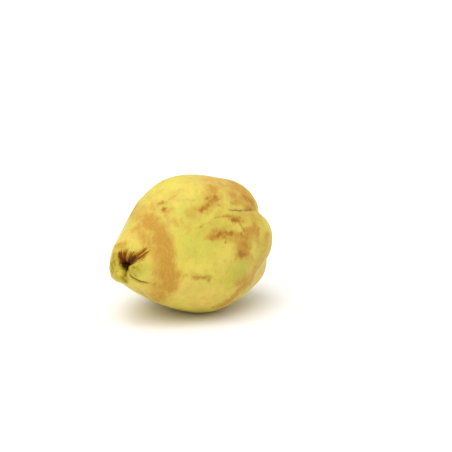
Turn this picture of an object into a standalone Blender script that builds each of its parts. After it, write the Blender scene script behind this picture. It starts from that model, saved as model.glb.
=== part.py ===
"""A ripe quince lying on its side, with the stub of its stem, its five dried sepals and its dried stamens.

Metres, +Z up. The fruit's long axis runs along X, with the stem end at -X and the flower end at +X.
The origin is on the floor, under the middle of the fruit.
"""

import math

import bmesh
import bpy
import numpy as np
from mathutils import Matrix, Vector

COLLECTION = "quince"

# Half of the fruit's outline, from the floor of the flower basin round to the tip of the nose:
# the distance along the fruit's own axis, and the distance out from it.
OUTLINE = [
    (0.0380, 0.0),
    (0.0390, 0.0040),
    (0.0425, 0.0078),
    (0.0468, 0.0120),
    (0.0490, 0.0180),
    (0.0455, 0.0247),
    (0.0380, 0.0310),
    (0.0270, 0.0357),
    (0.0125, 0.0405),
    (-0.0025, 0.0420),
    (-0.0175, 0.0371),
    (-0.0305, 0.0289),
    (-0.0415, 0.0198),
    (-0.0480, 0.0140),
    (-0.0523, 0.0090),
    (-0.0542, 0.0046),
    (-0.0547, 0.0),
]

# The section is a little taller or wider than a circle, and a little three-sided.
# Turns about the axis are in degrees from +Y, up over +Z at 90.
OVAL_HEIGHT, OVAL_TURN = -0.0008, 90.0
THREE_SIDED_HEIGHT, THREE_SIDED_TURN = 0.0018, 96.0
SECTION_FADE_START, SECTION_FADE_LENGTH = 0.008, 0.025

# Five ribs swell the flower end, with a furrow between each two: turn, height, half width in degrees.
RIBS = [
    (104.0, 0.0008, 18.0),
    (173.0, 0.0014, 18.0),
    (237.0, 0.0030, 20.0),
    (318.0, 0.0016, 18.0),
    (30.0, 0.0014, 18.0),
]
FURROWS = [
    (142.0, -0.0016, 9.0),
    (210.0, -0.0031, 10.0),
    (282.0, -0.0012, 10.0),
    (354.0, -0.0014, 10.0),
    (66.0, -0.0012, 10.0),
]
RIBS_START, RIBS_FULL = 0.0, 0.040
RIBS_FADE_START, RIBS_FADE_LENGTH = 0.007, 0.010

# Swellings and hollows of the body and the neck: centre, reach, height.
SWELLS = {
    "high back": ((-0.0040, 0.0130, 0.0390), 0.0180, 0.0008),
    "shoulder knob": ((-0.0460, 0.0090, 0.0090), 0.0070, 0.0011),
    "nose": ((-0.0540, 0.0042, -0.0038), 0.0075, 0.0019),
    "tucked underside": ((-0.0455, -0.0020, -0.0138), 0.0085, -0.0046),
    "lip": ((-0.0493, -0.0124, 0.0028), 0.0052, 0.0014),
    "lobe under the lip": ((-0.0490, -0.0094, -0.0084), 0.0050, 0.0006),
}

# The neck bends a little towards -Y and down.
BEND_START, BEND_END = -0.010, -0.053
BEND_SIDEWAYS, BEND_UP = -0.0020, -0.0005

# The stem pit opens on the flank of the nose: a shallow dish with a deep core.
PIT_CENTRE = (-0.0539, -0.0046, 0.0032)
PIT_INWARD = (0.75, 0.65, -0.15)
PIT_DISH_REACH, PIT_DISH_DEPTH = 0.0062, 0.0012
PIT_CORE_REACH, PIT_CORE_DEPTH = 0.0026, 0.0052

# Grooves that leave the pit: path, half width, depth. Each fades out at its far end.
GROOVES = {
    "upper hollow": ([PIT_CENTRE, (-0.0526, -0.0034, 0.0078), (-0.0506, -0.0003, 0.0113)], 0.0024, 0.0010),
    "side hollow": ([PIT_CENTRE, (-0.0475, -0.0114, 0.0086), (-0.0416, -0.0146, 0.0124)], 0.0026, 0.0010),
    "crease of the lip": (
        [PIT_CENTRE, (-0.0518, -0.0093, -0.0026), (-0.0482, -0.0125, -0.0058), (-0.0416, -0.0184, -0.0070)],
        0.0013,
        0.0012,
    ),
    "hollow under the pit": (
        [PIT_CENTRE, (-0.0534, -0.0056, -0.0040), (-0.0520, -0.0040, -0.0090)],
        0.0020,
        0.0009,
    ),
}

# The mesh: columns round the axis, rings along it, gathered towards both ends.
COLUMNS, RINGS, GATHER = 60, 46, 0.55

# The fruit lies with its nose lower than its flower end, on a flat worn by its own weight.
LIE_DEGREES = 4.5
FLAT_DEPTH = 0.0008

# What is left of the stem, at the bottom of the pit.
STUB_RADIUS, STUB_LENGTH, STUB_TAPER, STUB_SIDES = 0.0010, 0.0014, 0.75, 14
STUB_DEPTH = 0.0038

# The dried flower: the sepals stand on the basin's wall, round the stamens.
SEPAL_TURNS = [30.0, 104.0, 174.0, 240.0, 314.0]
SEPAL_LENGTHS = [0.0096, 0.0086, 0.0102, 0.0082, 0.0092]
SEPAL_HALF_WIDTH, SEPAL_THICKNESS = 0.0024, 0.0006
SEPAL_ROOT_ALONG, SEPAL_ROOT_OUT = 0.0414, 0.0046
SEPAL_LEAN, SEPAL_CURL, SEPAL_CUP = 34.0, 30.0, 0.0008
SEPAL_STEPS_ALONG, SEPAL_STEPS_ACROSS = 9, 4
STAMENS_RADIUS, STAMENS_LENGTH, STAMENS_GAP = 0.0028, 0.0040, 0.0004


def clear_scene():
    for old in list(bpy.data.objects):
        bpy.data.objects.remove(old, do_unlink=True)


def new_collection(name):
    made = bpy.data.collections.new(name)
    bpy.context.scene.collection.children.link(made)
    return made


def new_material(name, colour, roughness):
    made = bpy.data.materials.new(name)
    made.use_nodes = True
    shader = made.node_tree.nodes["Principled BSDF"]
    shader.inputs["Base Color"].default_value = (*colour, 1.0)
    shader.inputs["Roughness"].default_value = roughness
    shader.inputs["Metallic"].default_value = 0.0
    return made


def object_from(bm, name, material, collection, parent):
    """A smooth-shaded object that holds this bmesh, with its faces pointing outwards."""
    bm.normal_update()
    bmesh.ops.recalc_face_normals(bm, faces=bm.faces)
    mesh = bpy.data.meshes.new(name)
    bm.to_mesh(mesh)
    bm.free()
    mesh.materials.append(material)
    mesh.shade_smooth()
    made = bpy.data.objects.new(name, mesh)
    collection.objects.link(made)
    made.parent = parent
    return made


def ease(value):
    """0 below 0, 1 above 1, and a smooth S between them."""
    value = np.clip(value, 0.0, 1.0)
    return value * value * (3.0 - 2.0 * value)


def outline_at(way):
    """The point and the outward normal of the outline, for ways from 0, its start, to 1, its end.

    The curve is a Catmull-Rom spline on the length of its chords. It runs on past both ends as its
    mirror image in the axis, so that the fruit is smooth where it crosses the axis.
    """
    points = np.array(OUTLINE)
    mirror = np.array([1.0, -1.0])
    knots = np.vstack([points[1] * mirror, points, points[-2] * mirror])
    chords = np.linalg.norm(np.diff(knots, axis=0), axis=1)
    reached = np.concatenate([[0.0], np.cumsum(chords)]) - chords[0]
    run = np.clip(way, 0.0, 1.0) * reached[-2]
    left = np.clip(np.searchsorted(reached, run, side="right") - 1, 1, len(reached) - 3)
    gap = (reached[left + 1] - reached[left])[:, None]
    part = (run - reached[left])[:, None] / gap
    start, end = knots[left], knots[left + 1]
    slope_start = (end - knots[left - 1]) / (reached[left + 1] - reached[left - 1])[:, None] * gap
    slope_end = (knots[left + 2] - start) / (reached[left + 2] - reached[left])[:, None] * gap
    point = (
        (2 * part**3 - 3 * part**2 + 1) * start
        + (part**3 - 2 * part**2 + part) * slope_start
        + (3 * part**2 - 2 * part**3) * end
        + (part**3 - part**2) * slope_end
    )
    tangent = (
        (6 * part**2 - 6 * part) * (start - end)
        + (3 * part**2 - 4 * part + 1) * slope_start
        + (3 * part**2 - 2 * part) * slope_end
    )
    normal = np.stack([tangent[:, 1], -tangent[:, 0]], axis=1)
    return point, normal / np.linalg.norm(normal, axis=1, keepdims=True)


def ribs_height(along, out, turn):
    """How far the ribs and furrows of the flower end raise the skin."""
    height = np.zeros_like(turn)
    for middle, rise, half_width in RIBS + FURROWS:
        off = (turn - math.radians(middle) + math.pi) % (2 * math.pi) - math.pi
        height += rise * np.exp(-((off / math.radians(half_width)) ** 2))
    into_ribs = ease((along - RIBS_START) / (RIBS_FULL - RIBS_START))
    return height * into_ribs * ease((out - RIBS_FADE_START) / RIBS_FADE_LENGTH)


def section_height(out, turn):
    """How far the section leaves a circle."""
    oval = OVAL_HEIGHT * np.cos(2 * (turn - math.radians(OVAL_TURN)))
    sides = THREE_SIDED_HEIGHT * np.cos(3 * (turn - math.radians(THREE_SIDED_TURN)))
    return (oval + sides) * ease((out - SECTION_FADE_START) / SECTION_FADE_LENGTH)


def swells_height(points):
    height = np.zeros(len(points))
    for centre, reach, rise in SWELLS.values():
        away = np.linalg.norm(points - np.array(centre), axis=1)
        height += rise * np.exp(-((away / reach) ** 2))
    return height


def groove_depth(points, path, half_width, depth):
    """A groove along a path of straight steps, which is full at its start and fades out at its end."""
    corners = np.array(path)
    steps = np.diff(corners, axis=0)
    lengths = np.linalg.norm(steps, axis=1)
    before = np.concatenate([[0.0], np.cumsum(lengths)])
    nearest = np.full(len(points), np.inf)
    reached = np.zeros(len(points))
    for corner, step, length, start in zip(corners, steps, lengths, before):
        part = np.clip((points - corner) @ step / length**2, 0.0, 1.0)
        away = np.linalg.norm(points - corner - part[:, None] * step, axis=1)
        closer = away < nearest
        nearest = np.where(closer, away, nearest)
        reached = np.where(closer, start + part * length, reached)
    fade = ease((before[-1] - reached) / (0.5 * before[-1]))
    return depth * fade * np.exp(-((nearest / half_width) ** 2))


def fruit_points(way, turn):
    """Points of the skin, in the fruit's own frame, for ways along the outline and turns about the axis."""
    outline, normal = outline_at(way)
    along, out = outline[:, 0], outline[:, 1]
    points = np.stack([along, out * np.cos(turn), out * np.sin(turn)], axis=1)
    outward = np.stack([normal[:, 0], normal[:, 1] * np.cos(turn), normal[:, 1] * np.sin(turn)], axis=1)
    height = section_height(out, turn) + ribs_height(along, out, turn) + swells_height(points)
    for path, half_width, depth in GROOVES.values():
        height -= groove_depth(points, path, half_width, depth)
    away = np.linalg.norm(points - np.array(PIT_CENTRE), axis=1)
    height -= PIT_DISH_DEPTH * np.exp(-((away / PIT_DISH_REACH) ** 2))
    inward = np.array(PIT_INWARD) / np.linalg.norm(PIT_INWARD)
    core = PIT_CORE_DEPTH * np.exp(-((away / PIT_CORE_REACH) ** 2))
    points = points + outward * height[:, None] + inward * core[:, None]
    bend = np.clip((BEND_START - points[:, 0]) / (BEND_START - BEND_END), 0.0, None) ** 2
    points[:, 1] += BEND_SIDEWAYS * bend
    points[:, 2] += BEND_UP * bend
    return points


def make_fruit(material, collection, parent):
    """A sphere whose rings and columns are drawn onto the skin, cut flat where the fruit rests."""
    bm = bmesh.new()
    bmesh.ops.create_uvsphere(bm, u_segments=COLUMNS, v_segments=RINGS, radius=1.0)
    sphere = np.array([v.co for v in bm.verts])
    ring = np.arccos(np.clip(sphere[:, 2], -1.0, 1.0)) / math.pi
    way = ring - GATHER * np.sin(2 * math.pi * ring) / (2 * math.pi)
    turn = np.arctan2(sphere[:, 1], sphere[:, 0])
    for vertex, point in zip(bm.verts, fruit_points(way, turn)):
        vertex.co = point
    down = parent.matrix_world.to_3x3().inverted() @ Vector((0.0, 0.0, -1.0))
    lowest = max(vertex.co.dot(down) for vertex in bm.verts)
    everything = bm.verts[:] + bm.edges[:] + bm.faces[:]
    cut = bmesh.ops.bisect_plane(
        bm, geom=everything, plane_co=down * (lowest - FLAT_DEPTH), plane_no=down, clear_outer=True
    )
    rim = [part for part in cut["geom_cut"] if isinstance(part, bmesh.types.BMEdge)]
    bmesh.ops.edgenet_fill(bm, edges=rim)
    return object_from(bm, "quince_fruit", material, collection, parent)


def make_stem_stub(material, collection, parent):
    """The short dry stub at the bottom of the pit, a little narrower at its broken end."""
    inward = Vector(PIT_INWARD).normalized()
    bm = bmesh.new()
    bmesh.ops.create_cone(
        bm,
        cap_ends=True,
        segments=STUB_SIDES,
        radius1=STUB_RADIUS * STUB_TAPER,
        radius2=STUB_RADIUS,
        depth=STUB_LENGTH,
    )
    made = object_from(bm, "stem_stub", material, collection, parent)
    middle = Vector(PIT_CENTRE) + inward * STUB_DEPTH + Vector((0.0, BEND_SIDEWAYS, BEND_UP))
    made.matrix_local = Matrix.Translation(middle) @ inward.to_track_quat("Z", "Y").to_matrix().to_4x4()
    return made


def sepal_point(part, side, length):
    """A point of a sepal, X along, Y out, Z across: part runs 0 to 1 from root to tip, side -1 to 1 across."""
    lean = math.radians(SEPAL_LEAN - SEPAL_CURL * part)
    width = SEPAL_HALF_WIDTH * (0.72 + 0.95 * part) * (1.0 - part**2.2) ** 0.75 + 0.0004
    along = length * part * math.cos(lean)
    out = length * part * math.sin(lean) - SEPAL_CUP * side * side
    return Vector((along, out, width * side))


def make_sepal(index, material, collection, parent):
    """One dried sepal: a cupped leaf that stands on the basin's wall, leans out and curls back in."""
    bm = bmesh.new()
    bmesh.ops.create_grid(bm, x_segments=SEPAL_STEPS_ALONG, y_segments=SEPAL_STEPS_ACROSS, size=1.0)
    for vertex in bm.verts:
        vertex.co = sepal_point((vertex.co.x + 1.0) / 2.0, vertex.co.y, SEPAL_LENGTHS[index])
    name = f"sepal_{index + 1}"
    made = object_from(bm, name, material, collection, parent)
    skin = made.modifiers.new("thickness", "SOLIDIFY")
    skin.thickness = SEPAL_THICKNESS
    skin.offset = 0.0
    root = Matrix.Translation((SEPAL_ROOT_ALONG, SEPAL_ROOT_OUT, 0.0))
    made.matrix_local = Matrix.Rotation(math.radians(SEPAL_TURNS[index]), 4, "X") @ root
    return made


def make_stamens(material, collection, parent):
    """The dried stamens and styles, as the one tuft that they make on the basin's floor."""
    bm = bmesh.new()
    bmesh.ops.create_uvsphere(bm, u_segments=16, v_segments=10, radius=1.0)
    for vertex in bm.verts:
        rise = (vertex.co.z + 1.0) / 2.0
        spread = STAMENS_RADIUS * (0.75 + 0.25 * rise)
        vertex.co = Vector((rise * STAMENS_LENGTH, vertex.co.x * spread, vertex.co.y * spread))
    made = object_from(bm, "dried_stamens", material, collection, parent)
    made.location = (OUTLINE[0][0] + STAMENS_GAP, 0.0, 0.0)
    return made


def stand_on_floor(lie, fruit):
    """Moves everything so that the flat is on the floor and the fruit's box is centred over the origin."""
    bpy.context.view_layer.update()
    corners = [lie.matrix_world @ vertex.co for vertex in fruit.data.vertices]
    middle = [(min(c[i] for c in corners) + max(c[i] for c in corners)) / 2 for i in (0, 1)]
    lie.location = (-middle[0], -middle[1], -min(c.z for c in corners))
    bpy.context.view_layer.update()


def main():
    clear_scene()
    collection = new_collection(COLLECTION)
    lie = bpy.data.objects.new("lie_of_the_fruit", None)
    lie.rotation_euler = (0.0, -math.radians(LIE_DEGREES), 0.0)
    collection.objects.link(lie)
    bpy.context.view_layer.update()
    skin = new_material("quince_skin", (0.68, 0.60, 0.12), 0.42)
    bark = new_material("stem_bark", (0.10, 0.055, 0.03), 0.8)
    dry_leaf = new_material("dry_sepal", (0.22, 0.14, 0.07), 0.75)
    fruit = make_fruit(skin, collection, lie)
    make_stem_stub(bark, collection, lie)
    for index in range(len(SEPAL_TURNS)):
        make_sepal(index, dry_leaf, collection, lie)
    make_stamens(dry_leaf, collection, lie)
    stand_on_floor(lie, fruit)


main()
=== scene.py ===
"""A ripe quince lying on its side on a pale studio floor, seen from its stem end.

Metres, +Z up. The fruit's own frame has its axis along X, the flower end at +X and the stem end at -X;
turns about that axis are in degrees from +Y, up over +Z at 90. The fruit then lies a little nose down.
"""

import math

import bmesh
import bpy
import numpy as np
from mathutils import Matrix, Vector


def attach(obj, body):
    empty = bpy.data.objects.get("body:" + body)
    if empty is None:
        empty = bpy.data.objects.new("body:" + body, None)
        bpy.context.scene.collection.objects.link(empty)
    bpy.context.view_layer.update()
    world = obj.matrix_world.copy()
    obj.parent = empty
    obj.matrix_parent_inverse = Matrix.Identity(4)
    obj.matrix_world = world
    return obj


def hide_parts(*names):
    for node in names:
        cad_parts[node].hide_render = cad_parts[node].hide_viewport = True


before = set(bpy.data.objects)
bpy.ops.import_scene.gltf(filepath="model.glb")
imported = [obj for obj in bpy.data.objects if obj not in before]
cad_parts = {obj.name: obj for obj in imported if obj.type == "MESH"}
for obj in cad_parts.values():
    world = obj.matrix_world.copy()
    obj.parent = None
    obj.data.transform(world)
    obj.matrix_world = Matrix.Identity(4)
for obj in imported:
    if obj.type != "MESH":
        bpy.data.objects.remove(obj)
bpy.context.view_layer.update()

MM = 0.001
FULL_TURN = 2.0 * math.pi

# ---------------------------------------------------------------- the fruit's shape, as the solid has it

# Half of the outline, from the floor of the flower basin round to the tip of the nose: along, out.
OUTLINE = [
    (0.0380, 0.0),
    (0.0390, 0.0040),
    (0.0425, 0.0078),
    (0.0468, 0.0120),
    (0.0490, 0.0180),
    (0.0455, 0.0247),
    (0.0380, 0.0310),
    (0.0270, 0.0357),
    (0.0125, 0.0405),
    (-0.0025, 0.0420),
    (-0.0175, 0.0371),
    (-0.0305, 0.0289),
    (-0.0415, 0.0198),
    (-0.0480, 0.0140),
    (-0.0523, 0.0090),
    (-0.0542, 0.0046),
    (-0.0547, 0.0),
]

# How far the section is oval and three-sided, and which way it is turned.
OVAL_HEIGHT, OVAL_TURN = -0.0008, 90.0
THREE_SIDED_HEIGHT, THREE_SIDED_TURN = 0.0018, 96.0
SECTION_FADE_START, SECTION_FADE_LENGTH = 0.008, 0.025

# Ribs and furrows round the flower end: the turn of the middle, the height, the half width in degrees.
RIBS = [
    (104.0, 0.0008, 18.0),
    (173.0, 0.0014, 18.0),
    (237.0, 0.0030, 20.0),
    (318.0, 0.0016, 18.0),
    (30.0, 0.0014, 18.0),
]
FURROWS = [
    (142.0, -0.0016, 9.0),
    (210.0, -0.0031, 10.0),
    (282.0, -0.0012, 10.0),
    (354.0, -0.0014, 10.0),
    (66.0, -0.0012, 10.0),
]
RIBS_START, RIBS_FULL = 0.0, 0.040
RIBS_FADE_START, RIBS_FADE_LENGTH = 0.007, 0.010

# Single swells and hollows: the middle, the reach, the height.
SWELLS = {
    "high back": ((-0.0040, 0.0130, 0.0390), 0.0180, 0.0008),
    "shoulder knob": ((-0.0460, 0.0090, 0.0090), 0.0070, 0.0011),
    "nose": ((-0.0540, 0.0042, -0.0038), 0.0075, 0.0019),
    "tucked underside": ((-0.0455, -0.0020, -0.0138), 0.0085, -0.0046),
    "lip": ((-0.0493, -0.0124, 0.0028), 0.0052, 0.0014),
    "lobe under the lip": ((-0.0490, -0.0094, -0.0084), 0.0050, 0.0006),
}

# The neck's bend, and the stem pit's dish and core.
BEND_START, BEND_END = -0.010, -0.053
BEND_SIDEWAYS, BEND_UP = -0.0020, -0.0005
PIT_CENTRE = (-0.0539, -0.0046, 0.0032)
PIT_INWARD = (0.75, 0.65, -0.15)
PIT_DISH_REACH, PIT_DISH_DEPTH = 0.0062, 0.0012
PIT_CORE_REACH, PIT_CORE_DEPTH = 0.0026, 0.0052

# Grooves that run out of the pit: the path, the half width, the depth.
GROOVES = {
    "upper hollow": ([PIT_CENTRE, (-0.0526, -0.0034, 0.0078), (-0.0506, -0.0003, 0.0113)], 0.0024, 0.0010),
    "side hollow": ([PIT_CENTRE, (-0.0475, -0.0114, 0.0086), (-0.0416, -0.0146, 0.0124)], 0.0026, 0.0010),
    "crease of the lip": (
        [PIT_CENTRE, (-0.0518, -0.0093, -0.0026), (-0.0482, -0.0125, -0.0058), (-0.0416, -0.0184, -0.0070)],
        0.0013,
        0.0012,
    ),
    "hollow under the pit": (
        [PIT_CENTRE, (-0.0534, -0.0056, -0.0040), (-0.0520, -0.0040, -0.0090)],
        0.0020,
        0.0009,
    ),
}

# How far nose down the fruit lies, and how deep its resting flat is.
LIE_DEGREES = 4.5
FLAT_DEPTH = 0.0008

# ---------------------------------------------------------------- what the finer skin adds to that shape

# The skin is drawn from a sphere whose rings gather at the ends and whose columns gather at the face turn.
COLUMNS, RINGS, END_GATHER = 400, 240, 0.45
FACE_TURN, FACE_GATHER = 155.0, 0.35
FLAT_SOFTNESS = 0.0003

# Narrow creases: path as (along in mm, turn), half width, depth.
CREASES = {
    "furrow's lip": ([(6, 138.4), (10, 139.5), (15, 140.8), (20, 141.5)], 0.0006, 0.0005),
    "furrow's fold": ([(20, 141.5), (27, 141.4), (39, 140.5)], 0.0009, 0.0006),
    "short crease": ([(12, 153), (14, 161)], 0.0005, 0.0003),
    "long thin crease": ([(-4, 142.5), (8, 145)], 0.0005, 0.0002),
}
LIP_FOLD_HALF_WIDTH, LIP_FOLD_DEPTH = 0.0006, 0.0011

# The share of its length over which a groove fades out at its end, and a crease at both ends.
GROOVE_FADE, CREASE_FADE = 0.5, 0.2

# Soft unevenness of the skin: radians of wave to a metre along, waves round, phase, height.
LUMPS = [
    (95.0, 3, 0.3, 0.00020),
    (150.0, 5, 1.9, 0.00016),
    (240.0, 8, 4.1, 0.00010),
    (310.0, 13, 2.2, 0.00007),
]

# Marks and cuts are drawn in steps this long, and are nothing past this many half widths.
STEP_ON_SKIN, REACH_IN_WIDTHS = 0.0018, 3.0

OUTER_POINTS = 2001


def ease(value):
    """0 below 0, 1 above 1, and a smooth S between them."""
    value = np.clip(value, 0.0, 1.0)
    return value * value * (3.0 - 2.0 * value)


def bell(away, reach):
    """1 where away is 0, about a third at the reach, and next to nothing at twice the reach."""
    return np.exp(-((away / reach) ** 2))


def outline_at(way):
    """The point and the outward normal of the outline, for ways from 0, its start, to 1, its end."""
    points = np.array(OUTLINE)
    mirror = np.array([1.0, -1.0])
    knots = np.vstack([points[1] * mirror, points, points[-2] * mirror])
    chords = np.linalg.norm(np.diff(knots, axis=0), axis=1)
    reached = np.concatenate([[0.0], np.cumsum(chords)]) - chords[0]
    run = np.clip(way, 0.0, 1.0) * reached[-2]
    left = np.clip(np.searchsorted(reached, run, side="right") - 1, 1, len(reached) - 3)
    gap = (reached[left + 1] - reached[left])[:, None]
    part = (run - reached[left])[:, None] / gap
    start, end = knots[left], knots[left + 1]
    slope_start = (end - knots[left - 1]) / (reached[left + 1] - reached[left - 1])[:, None] * gap
    slope_end = (knots[left + 2] - start) / (reached[left + 2] - reached[left])[:, None] * gap
    point = (
        (2 * part**3 - 3 * part**2 + 1) * start
        + (part**3 - 2 * part**2 + part) * slope_start
        + (3 * part**2 - 2 * part**3) * end
        + (part**3 - part**2) * slope_end
    )
    tangent = (
        (6 * part**2 - 6 * part) * (start - end)
        + (3 * part**2 - 4 * part + 1) * slope_start
        + (3 * part**2 - 2 * part) * slope_end
    )
    normal = np.stack([tangent[:, 1], -tangent[:, 0]], axis=1)
    return point, normal / np.linalg.norm(normal, axis=1, keepdims=True)


def ribs_height(along, out, turn):
    """How far the ribs and furrows of the flower end raise the skin."""
    height = np.zeros_like(turn)
    for middle, rise, half_width in RIBS + FURROWS:
        off = (turn - math.radians(middle) + math.pi) % FULL_TURN - math.pi
        height += rise * bell(off, math.radians(half_width))
    into_ribs = ease((along - RIBS_START) / (RIBS_FULL - RIBS_START))
    return height * into_ribs * ease((out - RIBS_FADE_START) / RIBS_FADE_LENGTH)


def section_height(out, turn):
    """How far the section leaves a circle."""
    oval = OVAL_HEIGHT * np.cos(2 * (turn - math.radians(OVAL_TURN)))
    sides = THREE_SIDED_HEIGHT * np.cos(3 * (turn - math.radians(THREE_SIDED_TURN)))
    return (oval + sides) * ease((out - SECTION_FADE_START) / SECTION_FADE_LENGTH)


def swells_height(points):
    """How far the single swells and hollows raise the skin."""
    height = np.zeros(len(points))
    for centre, reach, rise in SWELLS.values():
        height += rise * bell(np.linalg.norm(points - np.array(centre), axis=1), reach)
    return height


def lumps_height(points, turn):
    """How far the soft unevenness raises the skin."""
    height = np.zeros(len(points))
    for waves, rounds, phase, rise in LUMPS:
        height += rise * np.sin(waves * points[:, 0] + phase) * np.cos(rounds * turn + 2.0 * phase)
    return height


def along_path(points, path):
    """How far each point is from a path of straight steps, how far along that is, and the path's length."""
    corners = np.array(path)
    steps = np.diff(corners, axis=0)
    lengths = np.linalg.norm(steps, axis=1)
    before = np.concatenate([[0.0], np.cumsum(lengths)])
    nearest = np.full(len(points), np.inf)
    reached = np.zeros(len(points))
    for corner, step, length, start in zip(corners, steps, lengths, before):
        part = np.clip((points - corner) @ step / length**2, 0.0, 1.0)
        away = np.linalg.norm(points - corner - part[:, None] * step, axis=1)
        closer = away < nearest
        nearest = np.where(closer, away, nearest)
        reached = np.where(closer, start + part * length, reached)
    return nearest, reached, before[-1]


def within_reach(points, path, half_width):
    """Which points a mark or a cut of that half width along the path can reach."""
    corners = np.array(path)
    margin = REACH_IN_WIDTHS * half_width
    near = (points > corners.min(axis=0) - margin) & (points < corners.max(axis=0) + margin)
    return near.all(axis=1)


def groove_depth(points, path, half_width, depth):
    """A groove along a path, which is full at its start and fades out at its end."""
    nearest, reached, total = along_path(points, path)
    return depth * ease((total - reached) / (GROOVE_FADE * total)) * bell(nearest, half_width)


def crease_depth(points, path, half_width, depth):
    """A narrow crease along a path, which fades out at both ends."""
    nearest, reached, total = along_path(points, path)
    fading = CREASE_FADE * total
    fade = ease(reached / fading) * ease((total - reached) / fading)
    return depth * fade * bell(nearest, half_width)


def outer_side():
    """Ways and (along, out) of the outline's outer side, from the nose to the flower end's furthest point."""
    ways = np.linspace(0.0, 1.0, OUTER_POINTS)
    outline = outline_at(ways)[0]
    furthest = int(np.argmax(outline[:, 0]))
    return ways[furthest:][::-1], outline[furthest:][::-1]


OUTER_WAYS, OUTER = outer_side()


def place(along_mm, turn_degrees):
    """The place on the plain skin, before its swells and bend, that far along and at that turn."""
    along = along_mm * MM
    out = np.interp(along, OUTER[:, 0], OUTER[:, 1])
    turn = math.radians(turn_degrees)
    return (along, out * math.cos(turn), out * math.sin(turn))


def route(places):
    """The path through these places on the plain skin, in steps short enough to keep to it."""
    corners = np.array(places, dtype=float)
    path = []
    for start, end in zip(corners[:-1], corners[1:]):
        length = math.dist(place(*start), place(*end))
        count = max(1, round(length / STEP_ON_SKIN))
        path += [place(*(start + (end - start) * step / count)) for step in range(count)]
    return path + [place(*corners[-1])]


def cut(height, points, depth_of, places, half_width, depth):
    """Cuts a groove or a crease along these places into the height of the skin."""
    path = route(places)
    near = within_reach(points, path, half_width)
    height[near] -= depth_of(points[near], path, half_width, depth)


def bent(points):
    """The neck bends a little towards -Y and down."""
    bend = np.clip((BEND_START - points[:, 0]) / (BEND_START - BEND_END), 0.0, None) ** 2
    return points + np.stack([np.zeros(len(points)), BEND_SIDEWAYS * bend, BEND_UP * bend], axis=1)


def plain_skin(way, turn):
    """Points of the plain skin, its outward directions and how far out it is, in the fruit's own frame."""
    outline, normal = outline_at(way)
    along, out = outline[:, 0], outline[:, 1]
    points = np.stack([along, out * np.cos(turn), out * np.sin(turn)], axis=1)
    outward = np.stack([normal[:, 0], normal[:, 1] * np.cos(turn), normal[:, 1] * np.sin(turn)], axis=1)
    return points, outward, out


def into_pit():
    """The unit direction down the stem pit."""
    return np.array(PIT_INWARD) / np.linalg.norm(PIT_INWARD)


def shaped_skin(points, outward, out, turn):
    """The finished skin, in the fruit's own frame, from points of the plain one."""
    height = section_height(out, turn) + ribs_height(points[:, 0], out, turn) + swells_height(points)
    height += lumps_height(points, turn)
    for path, half_width, depth in GROOVES.values():
        height -= groove_depth(points, path, half_width, depth)
    fold = GROOVES["crease of the lip"][0]
    height -= groove_depth(points, fold, LIP_FOLD_HALF_WIDTH, LIP_FOLD_DEPTH)
    for places, half_width, depth in CREASES.values():
        cut(height, points, crease_depth, places, half_width, depth)
    for places, half_width, depth, _ in STROKES:
        cut(height, points, groove_depth, places, half_width, depth)
    away = np.linalg.norm(points - np.array(PIT_CENTRE), axis=1)
    height -= PIT_DISH_DEPTH * bell(away, PIT_DISH_REACH)
    core = PIT_CORE_DEPTH * bell(away, PIT_CORE_REACH)
    return bent(points + outward * height[:, None] + into_pit() * core[:, None])


# ---------------------------------------------------------------- where the skin is marked

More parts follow.
